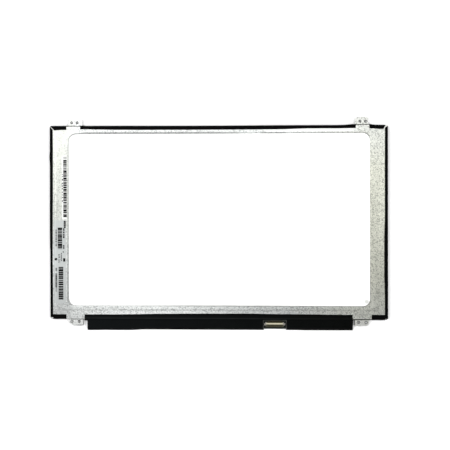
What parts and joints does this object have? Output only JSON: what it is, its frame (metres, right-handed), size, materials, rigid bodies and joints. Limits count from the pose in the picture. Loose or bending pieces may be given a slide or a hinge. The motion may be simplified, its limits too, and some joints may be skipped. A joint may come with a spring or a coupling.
{
  "type": "laptop screen panel",
  "caption": "Slim widescreen liquid-crystal display module for a laptop lid: steel-backed, edge-lit, taped edges, screw ears and a board with a signal socket along the lower edge.",
  "frame": {"origin": "centre of the bounding box in plan, at the display face that it lies on", "axes": "+X along the long side (to the right when the rear is looked at), +Y towards the upper edge, +Z out of the rear, which faces up"},
  "size_m": [0.3594, 0.2246, 0.0032],
  "materials": {
    "zinc_steel": "satin, zinc-coated, finely speckled",
    "white_moulding": "matte",
    "white_sheet": "satin, faintly uneven",
    "clear_film": "hazy gloss",
    "clear_acrylic": "gloss",
    "cell_glass": "polished",
    "polariser": "anti-glare matte",
    "black_tape": "satin",
    "black_film": "satin",
    "foam_tape": "matte",
    "flex_amber": "satin",
    "led_body": "gloss",
    "board": "solder-mask satin",
    "chip_epoxy": "matte",
    "ceramic_body": "matte",
    "ferrite": "matte",
    "socket_resin": "satin",
    "latch_resin": "satin",
    "gold_contact": "gold-plated satin",
    "tinned_bracket": "tin-plated satin",
    "label_paper": "coated matte"
  },
  "bodies": {
    "root": {"back_plate": "zinc_steel", "mould_frame": "white_moulding", "upper_prism_film": "clear_film", "lower_prism_film": "clear_film", "diffuser_film": "clear_film", "light_guide": "clear_acrylic", "reflector_sheet": "white_sheet", "led_chips": "led_body", "led_flex": "flex_amber", "light_strip_tape": "foam_tape", "cell_tape": "black_tape", "rear_polariser": "polariser", "tft_glass": "cell_glass", "colour_filter_glass": "cell_glass", "front_polariser": "polariser", "driver_films": "flex_amber", "driver_chips": "chip_epoxy", "circuit_board": "board", "timing_controller": "chip_epoxy", "bias_supply_chip": "chip_epoxy", "backlight_driver_chip": "chip_epoxy", "gamma_buffer_chip": "chip_epoxy", "memory_chip": "chip_epoxy", "power_inductors": "ferrite", "ceramic_capacitors": "ceramic_body", "chip_resistors": "chip_epoxy", "rectifier_diode": "chip_epoxy", "input_fuse": "ceramic_body", "flex_socket": "socket_resin", "flex_socket_latch": "latch_resin", "signal_socket_body": "socket_resin", "signal_socket_contacts": "gold_contact", "signal_socket_brackets": "tinned_bracket", "board_cover_film": "black_film", "front_shading_tape": "black_tape", "edge_tape_upper": "black_tape", "edge_tape_left": "black_tape", "edge_tape_right": "black_tape", "edge_tape_lower_left": "black_tape", "edge_tape_lower_right": "black_tape", "rating_label": "label_paper", "serial_label": "label_paper"}
  },
  "joints": []
}
